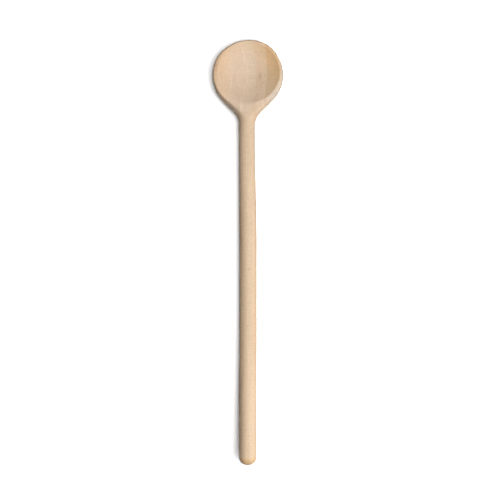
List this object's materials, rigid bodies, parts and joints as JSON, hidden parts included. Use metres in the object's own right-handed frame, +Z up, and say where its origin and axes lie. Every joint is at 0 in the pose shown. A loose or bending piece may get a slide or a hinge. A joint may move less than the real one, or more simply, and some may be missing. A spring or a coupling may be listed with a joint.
{
  "type": "wooden spoon",
  "caption": "One-piece beech cooking spoon with a shallow round bowl, sloping shoulders and a long round handle.",
  "frame": {"origin": "below the middle of the spoon's length and width, at the height of the lowest point of the belly", "axes": "+Y from the handle's end to the tip of the head, +X across the head, +Z up out of the bowl"},
  "size_m": [0.05, 0.3, 0.014],
  "materials": {
    "beech": "sanded smooth, bare and dry, with no varnish"
  },
  "bodies": {
    "root": {"spoon": "beech"}
  },
  "joints": []
}
